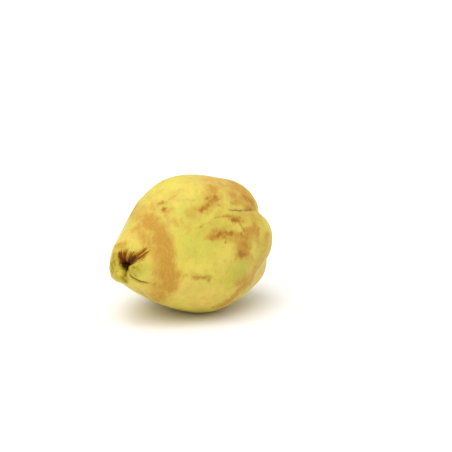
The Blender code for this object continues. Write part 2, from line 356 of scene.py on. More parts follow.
# Each mark: its places as (along in mm, turn), its half width in mm, its strength.
RUSSET = [
    # The band round the neck, from the far side over the back and down the near side.
    ([(-25, 30), (-30, -10), (-24, -38)], 8.0, 0.75),
    ([(-26, 58), (-30, 68), (-33, 84)], 7.5, 0.75),
    ([(-33, 84), (-33, 102)], 7.5, 0.8),
    ([(-33, 104), (-33, 120), (-34, 138)], 7.0, 1.25),
    ([(-34.5, 138), (-35.5, 150), (-36, 165)], 6.5, 1.5),
    ([(-36, 165), (-36, 185), (-36, 200)], 6.5, 1.5),
    ([(-36, 200), (-36.5, 215), (-37, 236)], 6.5, 1.0),
    ([(-39, 96), (-40, 170), (-40.5, 236)], 6.0, 0.9),
    ([(-40, 262), (-37, 248), (-37, 234)], 5.5, 0.7),
    # Beside the band, and over the stem pit.
    ([(-26, 98), (-25, 112), (-26, 126)], 5.0, 0.7),
    ([(-25, 104), (-16, 106)], 4.5, 0.55),
    ([(-26, 130), (-20, 139)], 4.0, 0.6),
    ([(-48.4, 60), (-47.6, 80), (-48.0, 96)], 3.2, 1.05),
    # Across the middle.
    ([(-15, 132), (-5, 129), (6, 125)], 6.0, 0.75),
    ([(6, 119), (1, 127), (-6, 131)], 5.5, 1.05),
    ([(-7, 148), (-1, 141), (4, 134)], 6.0, 0.6),
    ([(-16, 150), (-8, 150), (2, 154)], 6.5, 0.5),
    ([(-11, 156), (-6, 155), (0, 158), (5, 160)], 5.0, 1.0),
    # The flower end, over the furrow.
    ([(7, 105), (14, 103), (24, 104)], 7.0, 0.6),
    ([(12, 113), (22, 121), (32, 120)], 8.5, 0.68),
    ([(16, 112), (22, 115), (27, 112)], 5.0, 0.85),
    ([(28, 108), (34, 122), (38, 134)], 7.5, 1.0),
    ([(18, 127), (24, 128), (30, 130)], 5.5, 0.95),
    ([(15, 134), (24, 135)], 3.6, 0.9),
    ([(26, 138), (38, 139)], 3.0, 1.15),
    # The flower end, under the furrow.
    ([(4, 146), (10, 148), (16, 149)], 3.5, 0.9),
    ([(16, 146), (28, 147), (36, 150)], 7.5, 0.7),
    ([(26, 152), (34, 158)], 5.0, 0.7),
    ([(6, 162), (12, 164), (19, 164), (27, 162)], 5.0, 1.2),
    ([(6, 171), (13, 169), (20, 166)], 5.0, 1.1),
    ([(9, 167), (11, 177)], 4.5, 1.15),
    ([(5, 178), (9, 176), (13, 172)], 4.5, 1.2),
    ([(13, 182), (18, 188)], 4.5, 0.75),
    ([(24, 172), (32, 179), (35, 172)], 6.0, 0.8),
    ([(20, 190), (28, 193), (34, 184)], 7.0, 0.7),
    ([(5, 200), (10, 204), (18, 198)], 6.0, 0.9),
    ([(26, 200), (18, 207), (8, 210)], 6.0, 0.95),
    ([(10, 207), (2, 215), (-4, 222)], 5.5, 1.1),
    # The far side and the underside.
    ([(-20, 20), (-6, 34), (8, 30)], 8.0, 0.9),
    ([(16, 54), (26, 66), (34, 84)], 8.0, 0.9),
    ([(10, 345), (24, 330), (30, 305)], 7.5, 0.9),
    ([(-14, 300), (0, 288)], 7.0, 0.7),
]
SCUFFS = [
    ([(-23.5, 102), (-22.5, 103.5)], 2.4, 1.0),
    ([(-25.3, 110.5), (-24.6, 109.5)], 2.3, 1.05),
    ([(-19, 106), (-14, 106)], 1.7, 0.65),
    ([(-9.5, 132), (-6.5, 131)], 2.0, 1.15),
    ([(-6, 130.5), (-1, 128.5), (4, 126.5)], 2.5, 0.95),
    ([(-3, 124.5), (1, 124)], 1.6, 0.75),
    ([(8, 148.5), (12, 149.5)], 2.3, 1.2),
    ([(11, 147), (15, 147.5)], 1.8, 0.9),
    ([(-10, 155), (-8, 152.5)], 1.8, 0.8),
    ([(-7, 157.5), (-5.5, 156)], 2.1, 1.15),
    ([(-1.5, 157), (2.5, 159)], 2.5, 1.0),
    ([(-10, 157), (-4, 159)], 2.6, 0.75),
    ([(-4.5, 164), (-3.8, 164.5)], 1.3, 0.95),
    ([(10, 163), (13, 167)], 2.6, 0.8),
    ([(5, 177), (9, 178)], 2.6, 0.95),
    ([(9, 169), (12, 173)], 2.6, 0.6),
    ([(20, 163), (24, 162)], 2.4, 0.6),
    ([(-24, 188.5), (-20, 189.5), (-16, 191)], 2.8, 0.85),
    ([(-29, 186.5), (-24, 188)], 1.7, 0.5),
    ([(-13.6, 144.5), (-12.8, 145)], 0.9, 0.85),
    ([(-18, 145), (-17, 145.5)], 1.0, 0.65),
    ([(-12, 142), (-9, 145)], 1.4, 0.45),
    ([(-25, 133), (-21, 136)], 1.7, 0.55),
    ([(-27.5, 168), (-25, 169)], 0.9, 0.45),
    ([(22, 135), (34, 139)], 2.2, 0.5),
    ([(24, 141), (34, 141.5)], 1.6, 0.6),
    ([(28, 126), (37, 134)], 4.0, 0.7),
    ([(-33.5, 140), (-33.5, 160)], 1.8, 0.5),
    ([(-38.5, 165), (-38.5, 190)], 2.5, 0.45),
    ([(-39, 208), (-38, 230)], 3.0, 0.45),
    ([(-49.6, 70), (-49.2, 88)], 1.4, 0.55),
    # The far side and the underside.
    ([(-6, 40), (-2, 44)], 2.0, 0.9),
    ([(14, 62), (17, 60)], 1.8, 0.8),
    ([(-20, 350), (-16, 354)], 2.0, 0.7),
    ([(6, 310), (9, 306)], 1.8, 0.8),
    ([(22, 20), (26, 24)], 1.8, 0.8),
    ([(-30, 60), (-24, 64)], 1.6, 0.6),
    ([(-4, 270), (3, 264)], 1.6, 0.6),
    ([(-24, 290), (-20, 296)], 1.5, 0.7),
]

# Specks and thin cracks, and painted shade: the dark lines along the furrow, the creases and the crease of
# the lip.
SPECKS_AND_CREASE_SHADE = [
    # Painted shade along the furrow and the creases.
    ([(9, 139.3), (12, 140.5), (15, 140.4), (18, 141.7), (21, 141.3)], 0.55, 0.85),
    ([(21, 141.3), (25, 141.8), (30, 141.2), (36, 141)], 0.6, 0.5),
    ([(12.5, 153), (14, 160)], 0.6, 0.7),
    ([(-4, 142.5), (8, 145)], 0.5, 0.4),
    # Single specks.
    ([(-2, 124), (-2, 124.5)], 0.6, 0.8),
    ([(-14.5, 144.5), (-14.2, 145)], 0.7, 0.6),
    ([(-10, 121), (-10, 121.4)], 0.6, 0.4),
    ([(2, 133), (3, 134)], 0.6, 0.5),
    # Painted shade in the crease of the lip.
    ([(-52.4, 190), (-51.4, 197), (-48.2, 205)], 0.7, 0.8),
    ([(-48.2, 205), (-45, 203.5)], 0.6, 0.6),
    ([(-45, 203.5), (-41.6, 201)], 0.5, 0.3),
    # The far side and the underside.
    ([(-12, 12), (-11.5, 13)], 0.7, 0.7),
    ([(18, 344), (18.5, 345)], 0.7, 0.7),
    ([(2, 66), (2.5, 67)], 0.6, 0.6),
    ([(-28, 330), (-27.5, 331)], 0.6, 0.6),
]

# Golden, limy and olive tints. Two of the olive marks are painted shade in the hollow under the stem pit.
GOLD = [
    ([(-44, 108), (-38, 98), (-30, 92)], 9.0, 0.45),
    ([(-22, 100), (-12, 112)], 7.0, 0.45),
    ([(-46, 215), (-36, 205), (-22, 202)], 8.0, 0.7),
    ([(-24, 203), (-15, 214)], 9.0, 0.8),
    ([(-14, 206), (-5, 215)], 7.0, 0.6),
    ([(-8, 176), (2, 170)], 8.0, 0.4),
    ([(6, 106), (20, 108), (32, 112)], 10.0, 1.3),
    ([(14, 122), (30, 124)], 7.0, 0.8),
    ([(38, 218), (24, 228), (8, 234)], 8.5, 1.0),
    ([(-44, 50), (-38, 185), (-31, 320)], 9.0, 0.5),
    ([(-54.6, -10), (-54.5, 20)], 1.8, 0.8),
]
GREEN = [
    ([(-50, 168), (-44, 172)], 4.0, 0.6),
    ([(-16, 165), (-8, 150), (-2, 140)], 7.0, 0.45),
    ([(0, 195), (6, 190)], 7.5, 0.9),
    ([(2, 106), (-4, 112)], 6.0, 0.5),
    ([(-18, 128), (-8, 120)], 7.0, 0.7),
    ([(-24, 150), (-22, 168)], 6.0, 0.6),
    ([(10, 124), (13, 128)], 3.5, 0.7),
    ([(20, 178), (27, 184)], 4.0, 0.8),
    ([(30, 168), (34, 172)], 5.0, 0.4),
    # The far side and the underside.
    ([(-10, 60), (6, 66)], 8.0, 0.5),
    ([(-8, 320), (6, 330)], 8.0, 0.5),
]
OLIVE_TINTS_AND_HOLLOW_SHADE = [
    ([(-53.6, 40), (-52.6, 60)], 3.4, 1.05),
    ([(-52.4, 28), (-51.2, 52)], 2.0, 0.55),
    ([(-54.2, 62), (-53.6, 84)], 2.0, 0.6),
    ([(-54.5, 300), (-54, 240)], 3.0, 0.4),
    # Painted shade: these two lie in the hollow under the stem pit.
    ([(-54.3, 190), (-54.0, 222), (-53.3, 234)], 2.3, 1.15),
    ([(-53.6, 190), (-53.2, 205)], 1.6, 0.7),
    ([(-53.6, 56), (-54.5, 30)], 3.4, 1.1),
    ([(-54.6, 300), (-54.4, 262)], 2.8, 0.6),
    ([(-5, 193), (5, 192)], 7.0, 0.3),
    ([(-51.6, 112), (-49.8, 111)], 1.9, 1.35),
    ([(-49.6, 124), (-47.8, 126)], 1.2, 0.7),
    ([(-50.8, 160), (-50.2, 165)], 1.4, 1.1),
    ([(-50.3, 181), (-49.9, 186)], 1.0, 0.85),
    ([(-53, 172), (-49, 166)], 2.8, 0.65),
    ([(-49.6, 78), (-49.0, 92)], 1.6, 0.6),
]

# Strokes that fan out of the stem pit: where the first and the last pass and end, how many there are,
# their half width and depth in metres, and their darkness.
PIT_PLACE = (-53.9, 145)
FANS = {
    "upper fan": (((-53.1, 90), (-52.9, 126)), ((-50.6, 84), (-51.2, 116)), 17, 0.0006, 0.00022, 1.0),
    "side fan, above": (((-51.2, 126), (-51.6, 138)), ((-48.6, 122), (-42.4, 138)), 12, 0.0006, 0.00024, 1.0),
    "side fan, below": (((-51.6, 138), (-52.2, 153)), ((-42.4, 140), (-46.6, 151)), 14, 0.0006, 0.00024, 1.0),
    "lower fan": (((-54.2, 196), (-53.9, 224)), ((-53.2, 208), (-52.4, 222)), 4, 0.0005, 0.0002, 0.6),
}

# The stain round the pit, and painted shade: near-black in the pit and dark down the hollow under it.
STAIN = [
    ([PIT_PLACE, (-53.3, 110), (-51.7, 93)], 2.5, 1.15),
    ([PIT_PLACE, (-52.2, 118), (-50.9, 112)], 2.3, 1.15),
    ([PIT_PLACE, (-51.8, 138), (-49, 138)], 2.5, 1.05),
    ([(-49, 138), (-43.5, 139.5)], 2.6, 0.72),
    ([(-50, 142), (-45.5, 146)], 2.4, 0.8),
    ([(-50.5, 128), (-48.5, 125)], 1.5, 0.7),
    ([(-54.4, 332), (-54.2, 350)], 1.0, 0.5),
]
PAINTED_PIT_SHADE = [([(-53.9, 122), PIT_PLACE, (-54.0, 168)], 1.0, 0.95), ([(-54.0, 168), (-53.7, 196)], 0.9, 0.55)]
FAN_SEED, WANDER_SEED = 11, 5

# How the strokes of a fan differ: how far one strays from its turn, and the ranges of their length, size and
# darkness, all as shares.
FAN_STRAY, FAN_LENGTHS, FAN_SIZES, FAN_DARKNESSES = 0.3, (0.35, 1.0), (0.7, 1.2), (0.65, 1.0)

# A stroke's width at its tip and what it gains to its root, in half widths, and how fast it fades.
STROKE_TIP, STROKE_GAIN, STROKE_FADE = 0.5, 0.8, 0.5

# How the edges of the marks wander: wavelength and reach in metres, how many waves.
LONG_WANDERS = [(0.018, 0.0009, 4), (0.009, 0.0009, 5), (0.0045, 0.0007, 6), (0.0024, 0.0004, 8)]
SHORT_WANDERS = [(0.008, 0.0003, 5), (0.004, 0.0003, 7), (0.002, 0.0002, 9)]
WANDER_PHASES = (0.0, 6.3)

# Fine lines in the stain round the pit: how many to a turn about it, and their phase.
COMB_LINES = [(31, 0.4), (47, 1.7), (61, 4.0), (83, 2.6), (109, 5.1)]

# How far the sides of those lines sway and how often, in radians to a metre, and how strong each line is.
COMB_SWAY, COMB_SWAYS, COMB_STRENGTH = 0.8, 260.0, 0.22

# The brown of the flower basin: the way along the outline where it ends, how far out it reaches and fades.
BASIN_WAY, BASIN_REACH, BASIN_FADE = 0.3, 0.0135, 0.0075


def fan_strokes():
    """The strokes of every fan: path, half width, depth, darkness."""
    rng = np.random.default_rng(FAN_SEED)
    strokes = []
    for passes, ends, count, half_width, depth, darkness in FANS.values():
        for index in range(count):
            part = (index + rng.uniform(-FAN_STRAY, FAN_STRAY)) / (count - 1)
            middle = np.array(passes[0]) * (1 - part) + np.array(passes[1]) * part
            end = np.array(ends[0]) * (1 - part) + np.array(ends[1]) * part
            end = middle + (end - middle) * rng.uniform(*FAN_LENGTHS)
            size = rng.uniform(*FAN_SIZES)
            path = [PIT_PLACE, tuple(middle), tuple(end)]
            strokes.append((path, half_width * size, depth * size, darkness * rng.uniform(*FAN_DARKNESSES)))
    return strokes


STROKES = fan_strokes()


def wandering(points, waves):
    """The points, moved a little by long and short waves, so that a mark drawn on them has an uneven edge."""
    rng = np.random.default_rng(WANDER_SEED)
    moved = points.copy()
    for wavelength, reach, count in waves:
        for _ in range(count):
            heading = rng.normal(size=3)
            heading /= np.linalg.norm(heading)
            push = rng.normal(size=3) * reach / math.sqrt(count)
            wave = np.sin(FULL_TURN * points @ heading / wavelength + rng.uniform(*WANDER_PHASES))
            moved += wave[:, None] * push
    return moved


def marked(points, marks):
    """How strongly each point is marked: the strongest of the marks that reach it."""
    strength = np.zeros(len(points))
    for places, half_width_mm, most in marks:
        path = route(places)
        half_width = half_width_mm * MM
        near = within_reach(points, path, half_width)
        nearest, _, _ = along_path(points[near], path)
        strength[near] = np.maximum(strength[near], most * bell(nearest, half_width))
    return strength


def stroke_marks(points):
    """How dark the strokes out of the pit are: each fades and thins towards its end."""
    strength = np.zeros(len(points))
    for places, half_width, _, darkness in STROKES:
        path = route(places)
        near = within_reach(points, path, half_width)
        nearest, reached, total = along_path(points[near], path)
        left = np.clip(1.0 - reached / total, 0.0, 1.0)
        width = half_width * (STROKE_TIP + STROKE_GAIN * left)
        strength[near] = np.maximum(strength[near], darkness * left**STROKE_FADE * bell(nearest, width))
    return strength


def combed(points):
    """From 0 to 1 across fine lines that run out of the pit like the teeth of a comb."""
    inward = into_pit()
    up = np.array([0.0, 0.0, 1.0]) - inward[2] * inward
    up /= np.linalg.norm(up)
    off = points - np.array(PIT_CENTRE)
    angle = np.arctan2(off @ up, off @ np.cross(up, inward))
    away = np.linalg.norm(off, axis=1)
    value = np.zeros(len(points))
    for lines, phase in COMB_LINES:
        sway = COMB_SWAY * np.sin(COMB_SWAYS * away + 2.0 * phase)
        value += np.sin(lines * angle + phase + sway)
    return np.clip(0.5 + COMB_STRENGTH * value, 0.0, 1.0)


def basin_marks(way, out):
    """Full on the floor of the flower basin, and fading up its wall."""
    return np.where(way < BASIN_WAY, ease((BASIN_REACH - out) / BASIN_FADE), 0.0)


def skin_masks(points, way, out):
    """Every mark's strength at each point of the plain skin, by the name of its attribute."""
    uneven = wandering(points, LONG_WANDERS)
    slightly = wandering(points, SHORT_WANDERS)
    return {
        "russet": marked(uneven, RUSSET),
        "scuff": marked(slightly, SCUFFS),
        # The speck mark also holds the painted shade along the creases.
        "speck_and_crease_shade": marked(points, SPECKS_AND_CREASE_SHADE),
        "gold": marked(uneven, GOLD),
        "green": marked(uneven, GREEN),
        # The olive mark is partly painted shade in the hollow under the pit.
        "olive": marked(slightly, OLIVE_TINTS_AND_HOLLOW_SHADE),
        "stain": marked(slightly, STAIN),
        "comb": combed(points),
        "basin": basin_marks(way, out),
        "stroke": stroke_marks(points),
        # The pit's mark is painted shade in the stem pit and the hollow under it.
        "pit": np.clip(marked(slightly, PAINTED_PIT_SHADE), 0.0, 1.0),
    }


# ---------------------------------------------------------------- nodes


def add(tree, kind, inputs=None, **settings):
    """A node with these settings; its inputs are values, or sockets to join."""
    made = tree.nodes.new(kind)
    for name, value in settings.items():
        setattr(made, name, value)
    for name, value in (inputs or {}).items():
        socket = made.inputs[name]
        if isinstance(value, bpy.types.NodeSocket):
            tree.links.new(value, socket)
        else:
            socket.default_value = value
    return made


def noise(tree, where, scale, detail=2.0, roughness=0.5, distortion=0.0):
    inputs = {"Vector": where, "Scale": scale, "Detail": detail, "Roughness": roughness}
    return add(tree, "ShaderNodeTexNoise", inputs | {"Distortion": distortion}).outputs["Fac"]


def maths(tree, operation, first, second=0.0, clamp=False):
    return add(tree, "ShaderNodeMath", {0: first, 1: second}, operation=operation, use_clamp=clamp).outputs[0]


def plus(tree, first, second, clamp=False):
    return maths(tree, "ADD", first, second, clamp)


def minus(tree, first, second):
    return maths(tree, "SUBTRACT", first, second)


def times(tree, first, second, clamp=False):
    return maths(tree, "MULTIPLY", first, second, clamp)


def vector_maths(tree, operation, inputs):
    return add(tree, "ShaderNodeVectorMath", inputs, operation=operation).outputs[0]


def between(tree, value, low, high, least=0.0, most=1.0):
    """A smooth step from least to most as value goes from low to high."""
    inputs = {"Value": value, "From Min": low, "From Max": high, "To Min": least, "To Max": most}
    return add(tree, "ShaderNodeMapRange", inputs, interpolation_type="SMOOTHSTEP").outputs["Result"]


def about_zero(tree, value, reach):
    """A noise, which lies about one half, moved to lie about zero and made that many times as strong."""
    return times(tree, minus(tree, value, 0.5), reach)


def blend(tree, factor, first, second, mode="MIX"):
    """One colour over another. Colours are (red, green, blue) or sockets."""
    inputs = {0: factor}
    for index, colour in ((6, first), (7, second)):
        inputs[index] = colour if isinstance(colour, bpy.types.NodeSocket) else (*colour, 1.0)
    return add(tree, "ShaderNodeMix", inputs, data_type="RGBA", blend_type=mode).outputs[2]


def laid_over(tree, colour, over, value, low, high, most=1.0):
    """The colour with another over it, up to that most as value goes from low to high."""
    return blend(tree, between(tree, value, low, high, 0.0, most), colour, over)


def attribute(tree, name):
    return add(tree, "ShaderNodeAttribute", attribute_name=name).outputs["Fac"]


def thinned(tree, name, grain, low, high, least, most=1.0, clamp=False):
    """The marks of that name, which are thinned where the grain is low."""
    return times(tree, attribute(tree, name), between(tree, grain, low, high, least, most), clamp)


def new_material(name):
    """A new material, its tree, its shader and the places on the piece."""
    made = bpy.data.materials.new(name)
    made.use_nodes = True
    tree = made.node_tree
    where = add(tree, "ShaderNodeTexCoord").outputs["Object"]
    return made, tree, tree.nodes["Principled BSDF"], where


def bumped(tree, shader, height, distance, strength):
    made = add(tree, "ShaderNodeBump", {"Height": height, "Distance": distance, "Strength": strength})
    tree.links.new(made.outputs["Normal"], shader.inputs["Normal"])


# ---------------------------------------------------------------- the skin's finish

LEMON, LIME, GOLDEN = (0.660, 0.557, 0.090), (0.565, 0.520, 0.078), (0.705, 0.500, 0.110)
OLIVE_GREEN, PORE_OLIVE = (0.32, 0.24, 0.006), (0.42, 0.36, 0.05)
# The last of these colours the specks, and also paints shade into the creases.
TAN, BROWN, SPECK_AND_CREASE_SHADE_DARK = (0.49, 0.262, 0.038), (0.34, 0.142, 0.012), (0.13, 0.058, 0.006)
RUSTY_ORANGE, RUST = (0.44, 0.22, 0.008), (0.22, 0.066, 0.003)
# The second of these is the near-black of the painted shade in the stem pit.
PLUM, PIT_SHADE_BLACK = (0.085, 0.019, 0.002), (0.012, 0.006, 0.001)
BASIN_BROWN = (0.20, 0.12, 0.025)

# Noises in the skin: scale, detail, roughness, distortion. The streaky ones are drawn on stretched places,
# so that they are finer along the fruit than round it.
EVEN_NOISES = {
    "broad": (38.0, 2.0),
    "cloud": (150.0, 4.0, 0.55, 0.4),
    "haze": (230.0, 5.0, 0.6, 0.6),
    "patchy": (560.0, 4.0, 0.65, 0.8),
    "grain": (1900.0, 2.0),
}
STREAKY_NOISES = {"ragged": (420.0, 5.0, 0.62, 0.5), "streak": (700.0, 3.0, 0.6)}
STRETCH = (2.2, 1.0, 0.7)

# Pores: how many to a metre, how far their edge is from their middle, in cells, and how much they darken.
PORE_SCALE, PORE_EDGE, PORE_TINT = 620.0, (0.10, 0.24), 0.22

# How strongly clouds and rags break up each kind of mark, and what makes the stain turn plum.
CLOUDS, RAGS, PATCHES = 1.6, 0.65, 2.0
RUSSET_UNEVEN, SCUFF_UNEVEN, STAIN_UNEVEN, BASIN_UNEVEN = 0.65, 0.6, 0.6, 0.5
PLUM_BY_STAIN, PLUM_BY_COMB = 0.75, 0.5

# How waxy skin and corky russet shine, and how pores, grain and cork stand out of the skin.
WAX_ROUGHNESS, CORK_ROUGHNESS, SKIN_SPECULAR = 0.42, 0.62, 0.13
CLOUDED_ROUGHNESS = 0.03
PORE_RELIEF, GRAIN_RELIEF, CORK_RELIEF = -0.5, 0.5, 1.6
SKIN_BUMP, SKIN_BUMP_STRENGTH = 0.00008, 0.8


def skin_noises(tree, where):
    """The noises that the skin's colours and relief share, by name."""
    stretched = add(tree, "ShaderNodeMapping", {"Vector": where, "Scale": STRETCH}).outputs[0]
    noises = {name: noise(tree, where, *settings) for name, settings in EVEN_NOISES.items()}
    noises |= {name: noise(tree, stretched, *settings) for name, settings in STREAKY_NOISES.items()}
    noises["cloudy"] = about_zero(tree, noises["cloud"], CLOUDS)
    noises["uneven"] = plus(tree, noises["cloudy"], about_zero(tree, noises["ragged"], RAGS))
    return noises


def pores(tree, where):
    """1 in the middle of each pore, and 0 between pores."""
    cells = add(tree, "ShaderNodeTexVoronoi", {"Vector": where, "Scale": PORE_SCALE, "Randomness": 1.0})
    return between(tree, cells.outputs["Distance"], *PORE_EDGE, least=1.0, most=0.0)


def ripe_colour(tree, noises, pore):
    """Lemon skin with limy, golden and olive parts, a mottle, pores and a haze. Some of the olive is painted
    shade in the hollow under the pit.
    """
    patches = between(tree, noises["broad"], low=0.35, high=0.75, least=-0.1, most=0.75)
    limy = plus(tree, attribute(tree, "green"), patches)
    colour = laid_over(tree, LEMON, LIME, limy, low=0.1, high=1.0)
    golden = thinned(tree, "gold", noises["cloud"], low=0.25, high=0.7, least=0.5)
    colour = blend(tree, golden, colour, GOLDEN)
    mottle = between(tree, noises["cloud"], low=0.3, high=0.7, least=0.92, most=1.05)
    mottle = times(tree, mottle, between(tree, noises["grain"], low=0.3, high=0.7, least=0.97, most=1.03))
    grey = add(tree, "ShaderNodeCombineColor", {0: mottle, 1: mottle, 2: mottle}).outputs[0]
    colour = blend(tree, 1.0, colour, grey, "MULTIPLY")
    colour = blend(tree, times(tree, pore, PORE_TINT), colour, PORE_OLIVE)
    colour = laid_over(tree, colour, TAN, noises["haze"], low=0.48, high=0.74, most=0.38)
    colour = laid_over(tree, colour, LIME, noises["haze"], low=0.46, high=0.28, most=0.45)
    # The olive is partly painted shade, in the hollow under the stem pit.
    olive = thinned(tree, "olive", noises["ragged"], low=0.3, high=0.65, least=0.55, most=1.1, clamp=True)
    return blend(tree, olive, colour, OLIVE_GREEN)


def russet_marks(tree, noises):
    """How much corky russet covers the skin: clouded marks with ragged edges and fine streaks."""
    russet = plus(tree, attribute(tree, "russet"), times(tree, noises["uneven"], RUSSET_UNEVEN))
    russet = between(tree, russet, low=0.12, high=1.2)
    streaks = between(tree, noises["streak"], low=0.3, high=0.7, least=0.78, most=1.08)
    return times(tree, russet, streaks, clamp=True)


def scuff_marks(tree, noises):
    """How much brown scuff covers the skin: patchy inside its marks, and nothing outside them."""
    here = attribute(tree, "scuff")
    uneven = plus(tree, about_zero(tree, noises["patchy"], PATCHES), noises["cloudy"])
    scuff = between(tree, plus(tree, here, times(tree, uneven, SCUFF_UNEVEN)), low=0.3, high=1.25)
    return times(tree, scuff, between(tree, here, low=0.03, high=0.45))


def with_stained_pit(tree, noises, colour):
    """The colour with the pit's rusty and plum stain, the dark strokes, and the near-black painted shade of
    the pit over it.
    """
    comb, here = attribute(tree, "comb"), attribute(tree, "stain")
    stain = plus(tree, here, about_zero(tree, comb, STAIN_UNEVEN))
    stain = plus(tree, stain, about_zero(tree, noises["ragged"], STAIN_UNEVEN))
    stain = times(tree, stain, between(tree, here, low=0.02, high=0.25))
    colour = laid_over(tree, colour, RUSTY_ORANGE, stain, low=0.05, high=0.65)
    colour = laid_over(tree, colour, RUST, stain, low=0.35, high=1.0)
    plum = plus(tree, times(tree, here, PLUM_BY_STAIN), times(tree, comb, PLUM_BY_COMB))
    colour = laid_over(tree, colour, PLUM, plum, low=0.65, high=1.4, most=0.75)
    stroke = thinned(tree, "stroke", noises["ragged"], low=0.3, high=0.6, least=0.75)
    colour = laid_over(tree, colour, PLUM, stroke, low=0.15, high=0.9, most=0.9)
    # Painted shade: near-black where the stem pit and the hollow under it are in shade.
    return blend(tree, attribute(tree, "pit"), colour, PIT_SHADE_BLACK)


def with_brown_basin(tree, noises, colour):
    """The colour with the flower basin's brown over it."""
    basin = plus(tree, attribute(tree, "basin"), times(tree, noises["uneven"], BASIN_UNEVEN))
    return laid_over(tree, colour, BASIN_BROWN, basin, low=0.35, high=1.2, most=0.9)


def quince_skin():
    """Waxy yellow skin, limy in places, with corky russet, scuffs, pores and a stained stem pit, and painted
    shade in the pit, the hollow under it and the creases.
    """
    made, tree, shader, where = new_material("quince skin")
    noises, pore = skin_noises(tree, where), pores(tree, where)
    russet, scuff = russet_marks(tree, noises), scuff_marks(tree, noises)
    # Painted shade: the speck mark also darkens the creases.
    speck_and_crease_shade = thinned(tree, "speck_and_crease_shade", noises["ragged"], low=0.3, high=0.6, least=0.6)
    colour = ripe_colour(tree, noises, pore)
    for mark, over in ((russet, TAN), (scuff, BROWN), (speck_and_crease_shade, SPECK_AND_CREASE_SHADE_DARK)):
        colour = blend(tree, mark, colour, over)
    colour = with_brown_basin(tree, noises, with_stained_pit(tree, noises, colour))
    tree.links.new(colour, shader.inputs["Base Color"])

    cork = plus(tree, russet, scuff, clamp=True)
    roughness = between(tree, cork, low=0.0, high=1.0, least=WAX_ROUGHNESS, most=CORK_ROUGHNESS)
    clouds = {"least": -CLOUDED_ROUGHNESS, "most": CLOUDED_ROUGHNESS}
    clouded = between(tree, noises["cloud"], low=0.3, high=0.7, **clouds)
    tree.links.new(plus(tree, roughness, clouded), shader.inputs["Roughness"])
    shader.inputs["Specular IOR Level"].default_value = SKIN_SPECULAR

    relief = plus(tree, times(tree, pore, PORE_RELIEF), times(tree, noises["grain"], GRAIN_RELIEF))
    corky = times(tree, noises["ragged"], cork)
    relief = plus(tree, relief, times(tree, corky, CORK_RELIEF))
    bumped(tree, shader, relief, SKIN_BUMP, SKIN_BUMP_STRENGTH)
    return made


# ---------------------------------------------------------------- the dry finishes

# Light colour, dark colour and the scale of the streaks. The fine grain is so many times finer than those.
DRY_FINISHES = {
    "dry fibre": ((0.14, 0.050, 0.016), (0.035, 0.012, 0.006), 1500.0),
    # The broken stem's colours are darker than dry wood alone: partly painted shade of the stem pit.
    "stem wood darkened as pit shade": ((0.060, 0.030, 0.014), (0.018, 0.009, 0.005), 1200.0),
    "dead leaf": ((0.30, 0.205, 0.090), (0.085, 0.048, 0.020), 420.0),
    "dead stamen": ((0.16, 0.085, 0.034), (0.045, 0.022, 0.010), 900.0),
    "pale down": ((0.56, 0.48, 0.33), (0.36, 0.29, 0.17), 700.0),
}
FINER, STREAK_SHARE, FINE_SHARE = 5.0, 0.7, 0.3
DRY_SPECULAR, DRY_BUMP, DRY_BUMP_STRENGTH = 0.02, 0.00015, 0.7


def dry_finish(name):
    """A dry, fibrous finish: broken wood, dead sepals and stamens, fibres or down."""
    light, dark, scale = DRY_FINISHES[name]
    made, tree, shader, where = new_material(name)
    streak = noise(tree, where, scale, detail=5.0, roughness=0.65, distortion=1.2)
    fine = noise(tree, where, scale * FINER, detail=3.0)
    tone = plus(tree, times(tree, streak, STREAK_SHARE), times(tree, fine, FINE_SHARE))
    tree.links.new(laid_over(tree, dark, light, tone, low=0.35, high=0.65), shader.inputs["Base Color"])
    roughness = between(tree, fine, low=0.3, high=0.7, least=0.75, most=0.95)
    tree.links.new(roughness, shader.inputs["Roughness"])
    shader.inputs["Specular IOR Level"].default_value = DRY_SPECULAR
    bumped(tree, shader, tone, DRY_BUMP, DRY_BUMP_STRENGTH)
    return made


# ---------------------------------------------------------------- making pieces


def linked(name, data):
    """A new object in the scene with this mesh, camera or light."""
    made = bpy.data.objects.new(name, data)
    bpy.context.scene.collection.objects.link(made)
    return made


def object_of(mesh, name, material):
    """The mesh as a smooth piece with that one finish."""
    mesh.materials.clear()
    mesh.materials.append(material)
    mesh.shade_smooth()
    return linked(name, mesh)


def mesh_of(bm, name):
    """The mesh built in bm, and its points."""
    mesh = bpy.data.meshes.new(name)
    bm.to_mesh(mesh)
    bm.free()
    points = np.zeros(len(mesh.vertices) * 3)
    mesh.vertices.foreach_get("co", points)
    return mesh, points.reshape(-1, 3)


def ball(name, columns, rings):
    """A sphere of radius 1 and its points."""
    bm = bmesh.new()
    bmesh.ops.create_uvsphere(bm, u_segments=columns, v_segments=rings, radius=1.0)
    return mesh_of(bm, name)


def grid(name, along, across, half_size):
    """A flat square grid and its points."""
    bm = bmesh.new()
    bmesh.ops.create_grid(bm, x_segments=along, y_segments=across, size=half_size)
    return mesh_of(bm, name)


def put_at(mesh, points):
    """Moves the mesh's points there."""
    mesh.vertices.foreach_set("co", points.ravel())
    mesh.update()


def baked(holder, name):
    """The plain mesh that the holder's modifiers make. The holder is removed."""
    holder.update_tag()
    bpy.context.view_layer.update()
    depsgraph = bpy.context.evaluated_depsgraph_get()
    mesh = bpy.data.meshes.new_from_object(holder.evaluated_get(depsgraph))
    bpy.data.objects.remove(holder, do_unlink=True)
    mesh.name = name
    return mesh


def lay_down(points):
    """From the fruit's own frame to the floor: the lie, without the shift."""
    lie = math.radians(LIE_DEGREES)
    along = points[:, 0] * math.cos(lie) - points[:, 2] * math.sin(lie)
    up = points[:, 2] * math.cos(lie) + points[:, 0] * math.sin(lie)
    return np.stack([along, points[:, 1], up], axis=1)


